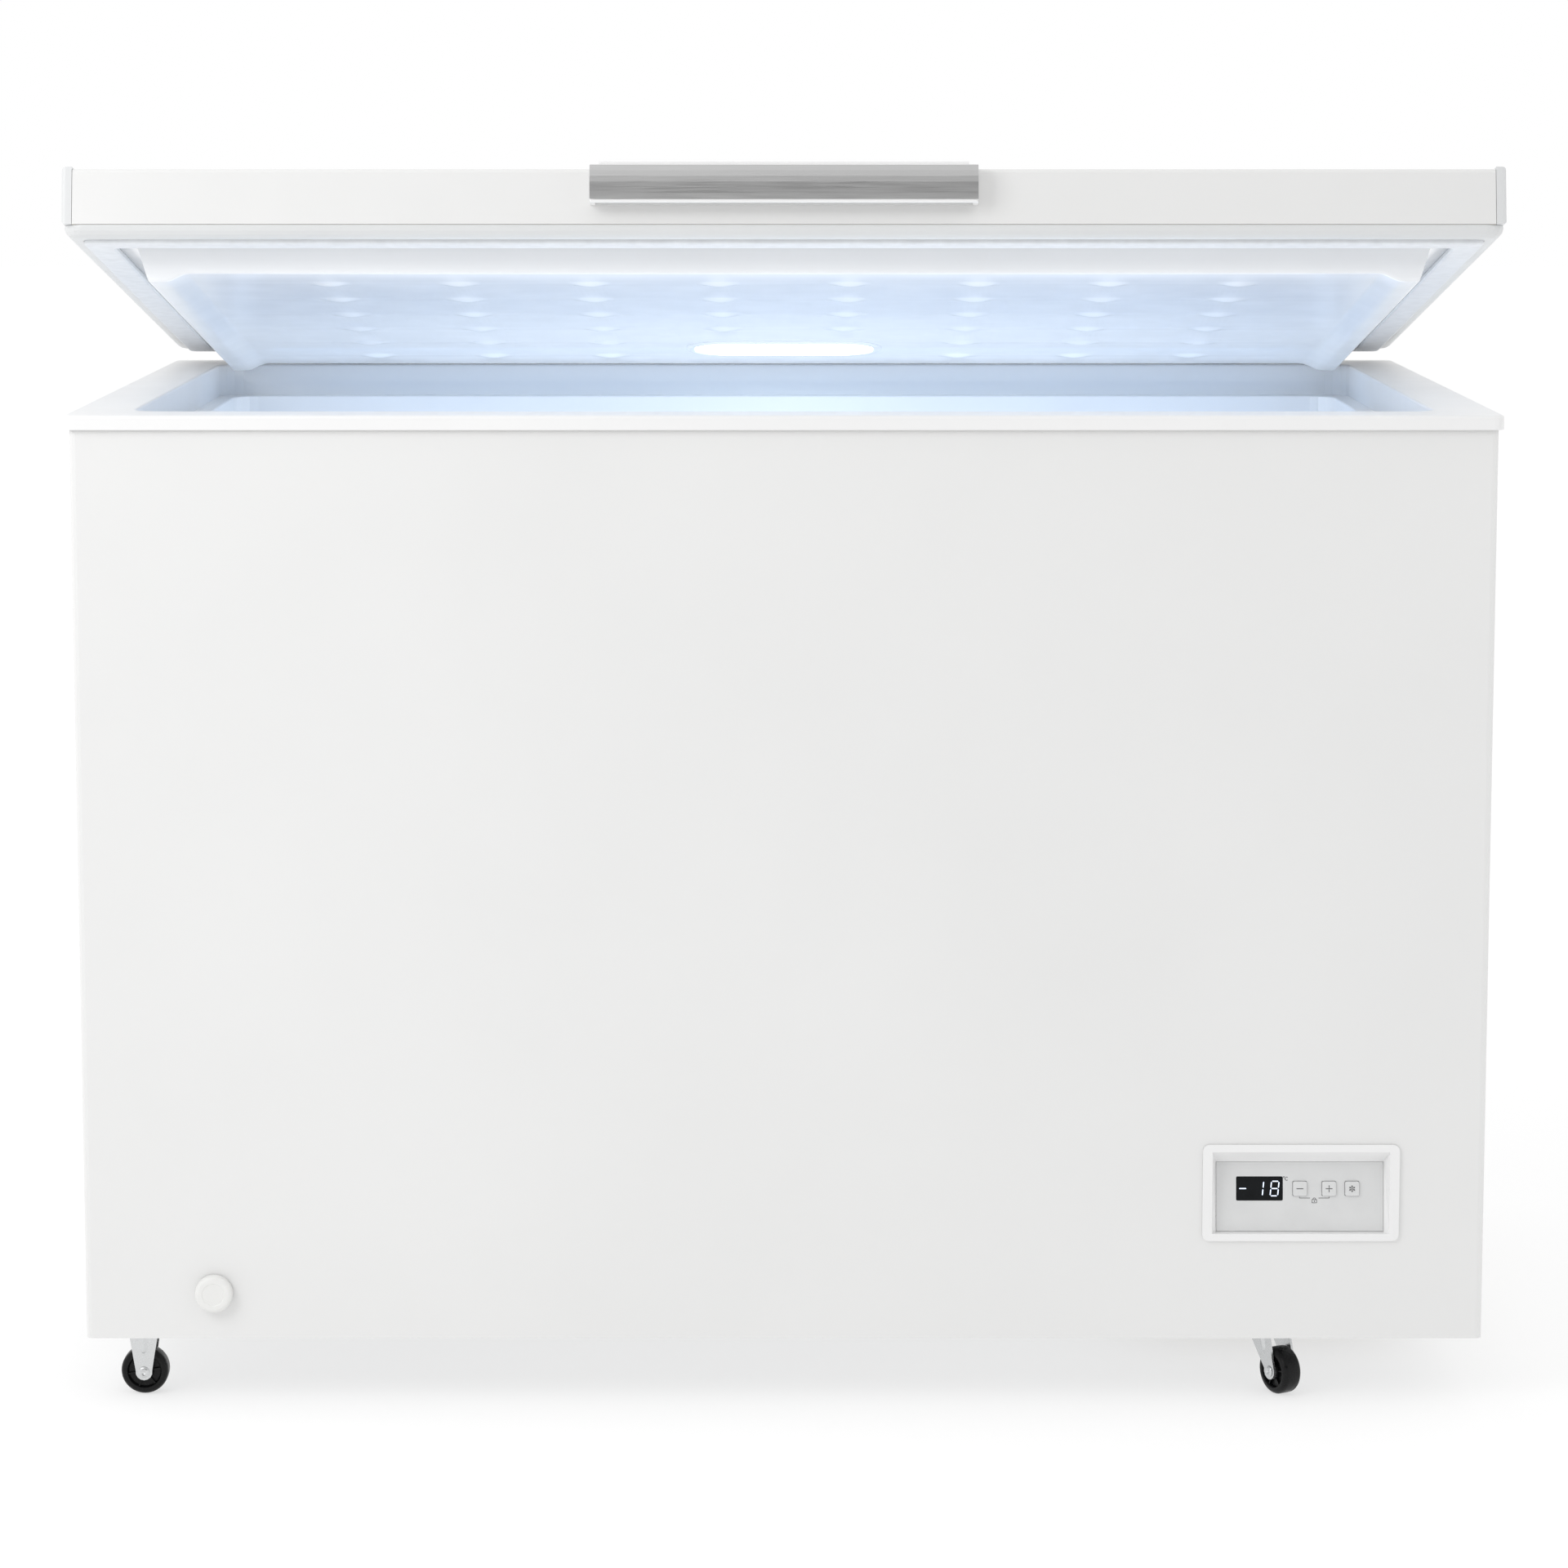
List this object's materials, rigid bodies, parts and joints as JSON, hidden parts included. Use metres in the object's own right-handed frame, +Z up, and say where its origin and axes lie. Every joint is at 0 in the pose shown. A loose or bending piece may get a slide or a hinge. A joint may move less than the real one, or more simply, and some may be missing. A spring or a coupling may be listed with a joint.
{
  "type": "chest freezer",
  "caption": "White chest freezer on casters, its hinged lid partly open over an embossed aluminium tub, with a front control panel, drain dial and rear spring hinges.",
  "frame": {"origin": "on the floor, under the centre of the bounding box at rest", "axes": "+X to the right seen from the front, the front faces -Y, +Z up"},
  "size_m": [1.12, 0.7049, 0.9889],
  "materials": {
    "base_plate": "satin",
    "button_minus": "matte",
    "button_plus": "matte",
    "button_super": "matte",
    "cabinet_foam": "matte",
    "compressor": "satin",
    "condenser_tube": "satin",
    "control_bezel": "satin",
    "control_board": "matte",
    "control_fascia": "matte",
    "display_window": "gloss",
    "drain_dial": "satin",
    "drain_outlet": "satin",
    "drain_tube": "satin",
    "evaporator_tube": "satin",
    "front_left_axle": "satin",
    "front_left_fork": "satin",
    "front_left_wheel": "satin",
    "front_right_axle": "satin",
    "front_right_fork": "satin",
    "front_right_plate": "satin",
    "front_right_wheel": "satin",
    "handle_body": "satin",
    "handle_trim": "satin",
    "hinge_arm_left": "satin",
    "hinge_arm_right": "satin",
    "hinge_base_left": "satin",
    "hinge_base_right": "satin",
    "hinge_pin_left": "satin",
    "hinge_pin_right": "satin",
    "hinge_plunger_left": "matte",
    "hinge_plunger_right": "matte",
    "hinge_spring_left": "satin",
    "hinge_spring_right": "satin",
    "inner_liner": "satin",
    "lamp_board": "matte",
    "lamp_lens": "satin",
    "lid_foam": "matte",
    "lid_frame": "satin",
    "lid_gasket": "matte",
    "lid_liner": "satin",
    "lid_skin": "satin",
    "lid_trim_left": "satin",
    "lid_trim_right": "satin",
    "liner_drain_plug": "matte",
    "outer_shell": "satin",
    "power_gland": "matte",
    "rear_left_axle": "satin",
    "rear_left_fork": "satin",
    "rear_left_wheel": "satin",
    "rear_panel": "satin",
    "rear_right_axle": "satin",
    "rear_right_fork": "satin",
    "rear_right_plate": "satin",
    "rear_right_wheel": "satin",
    "relay_cover": "satin",
    "service_cover": "satin",
    "side_grille": "satin",
    "top_collar": "satin"
  },
  "bodies": {
    "root": {"base_plate": "base_plate", "cabinet_foam": "cabinet_foam", "compressor": "compressor", "condenser_tube": "condenser_tube", "control_bezel": "control_bezel", "control_board": "control_board", "control_fascia": "control_fascia", "display_window": "display_window", "drain_tube": "drain_tube", "evaporator_tube": "evaporator_tube", "front_left_axle": "front_left_axle", "front_left_fork": "front_left_fork", "front_right_plate": "front_right_plate", "hinge_base_left": "hinge_base_left", "hinge_base_right": "hinge_base_right", "hinge_pin_left": "hinge_pin_left", "hinge_pin_right": "hinge_pin_right", "hinge_spring_left": "hinge_spring_left", "hinge_spring_right": "hinge_spring_right", "inner_liner": "inner_liner", "outer_shell": "outer_shell", "power_gland": "power_gland", "rear_left_axle": "rear_left_axle", "rear_left_fork": "rear_left_fork", "rear_panel": "rear_panel", "rear_right_plate": "rear_right_plate", "relay_cover": "relay_cover", "service_cover": "service_cover", "side_grille": "side_grille", "top_collar": "top_collar"},
    "lid": {"lid_skin": "lid_skin", "lid_trim_left": "lid_trim_left", "lid_trim_right": "lid_trim_right", "lid_frame": "lid_frame", "lid_foam": "lid_foam", "lid_liner": "lid_liner", "lid_gasket": "lid_gasket", "handle_body": "handle_body", "handle_trim": "handle_trim", "lamp_lens": "lamp_lens", "lamp_board": "lamp_board", "hinge_arm_left": "hinge_arm_left", "hinge_arm_right": "hinge_arm_right"},
    "plunger_left": {"hinge_plunger_left": "hinge_plunger_left"},
    "plunger_right": {"hinge_plunger_right": "hinge_plunger_right"},
    "button_minus": {"button_minus": "button_minus"},
    "button_plus": {"button_plus": "button_plus"},
    "button_super": {"button_super": "button_super"},
    "drain_outlet": {"drain_outlet": "drain_outlet"},
    "drain_dial": {"drain_dial": "drain_dial"},
    "liner_plug": {"liner_drain_plug": "liner_drain_plug"},
    "front_right_swivel": {"front_right_fork": "front_right_fork", "front_right_axle": "front_right_axle"},
    "rear_right_swivel": {"rear_right_fork": "rear_right_fork", "rear_right_axle": "rear_right_axle"},
    "front_left_wheel": {"front_left_wheel": "front_left_wheel"},
    "rear_left_wheel": {"rear_left_wheel": "rear_left_wheel"},
    "front_right_wheel": {"front_right_wheel": "front_right_wheel"},
    "rear_right_wheel": {"rear_right_wheel": "rear_right_wheel"}
  },
  "joints": [
    {"name": "lid_hinge", "type": "hinge", "parent": "root", "child": "lid", "pos_m": [0, 0.3405, 0.808], "axis": [-1, 0, 0], "range_deg": [-11.2, 63.8], "stiffness_Nm_per_rad": 11.5, "springref_deg": 98.43},
    {"name": "plunger_left_slide", "type": "slide", "parent": "root", "child": "plunger_left", "axis": [0, 0, 1], "range_m": [-0.00152, 0.00854], "deforming": ["hinge_spring_left"]},
    {"name": "plunger_right_slide", "type": "slide", "parent": "root", "child": "plunger_right", "axis": [0, 0, 1], "range_m": [-0.00152, 0.00854], "deforming": ["hinge_spring_right"]},
    {"name": "button_minus_press", "type": "slide", "parent": "root", "child": "button_minus", "axis": [0, 0.993, -0.1184], "range_m": [0, 0.001], "stiffness_N_per_m": 500, "springref_m": -0.0004},
    {"name": "button_plus_press", "type": "slide", "parent": "root", "child": "button_plus", "axis": [0, 0.993, -0.1184], "range_m": [0, 0.001], "stiffness_N_per_m": 500, "springref_m": -0.0004},
    {"name": "button_super_press", "type": "slide", "parent": "root", "child": "button_super", "axis": [0, 0.993, -0.1184], "range_m": [0, 0.001], "stiffness_N_per_m": 500, "springref_m": -0.0004},
    {"name": "drain_pull", "type": "slide", "parent": "root", "child": "drain_outlet", "axis": [0, -1, 0], "range_m": [0, 0.022]},
    {"name": "drain_turn", "type": "hinge", "parent": "drain_outlet", "child": "drain_dial", "pos_m": [-0.453, -0.3425, 0.094], "axis": [0, -1, 0], "range_deg": [0, 180]},
    {"name": "drain_plug_lift", "type": "slide", "parent": "root", "child": "liner_plug", "axis": [0, 0, 1], "range_m": [0, 0.04]},
    {"name": "front_right_turn", "type": "hinge", "parent": "root", "child": "front_right_swivel", "pos_m": [0.3915, -0.2885, 0.05], "axis": [0, 0, 1], "continuous": true},
    {"name": "rear_right_turn", "type": "hinge", "parent": "root", "child": "rear_right_swivel", "pos_m": [0.3915, 0.2575, 0.05], "axis": [0, 0, 1], "continuous": true},
    {"name": "front_left_roll", "type": "hinge", "parent": "root", "child": "front_left_wheel", "pos_m": [-0.515, -0.3005, 0.019], "axis": [0, 1, 0], "continuous": true},
    {"name": "front_right_roll", "type": "hinge", "parent": "front_right_swivel", "child": "front_right_wheel", "pos_m": [0.4, -0.30322, 0.019], "axis": [0.866, 0.5, 0], "continuous": true},
    {"name": "rear_left_roll", "type": "hinge", "parent": "root", "child": "rear_left_wheel", "pos_m": [-0.515, 0.2695, 0.019], "axis": [0, 1, 0], "continuous": true},
    {"name": "rear_right_roll", "type": "hinge", "parent": "rear_right_swivel", "child": "rear_right_wheel", "pos_m": [0.4, 0.24278, 0.019], "axis": [0.866, 0.5, 0], "continuous": true}
  ],
  "couplings": [
    {"joint": "plunger_left_slide", "follows": "lid_hinge", "m_per_rad": 0.007639},
    {"joint": "plunger_right_slide", "follows": "lid_hinge", "m_per_rad": 0.007639}
  ]
}
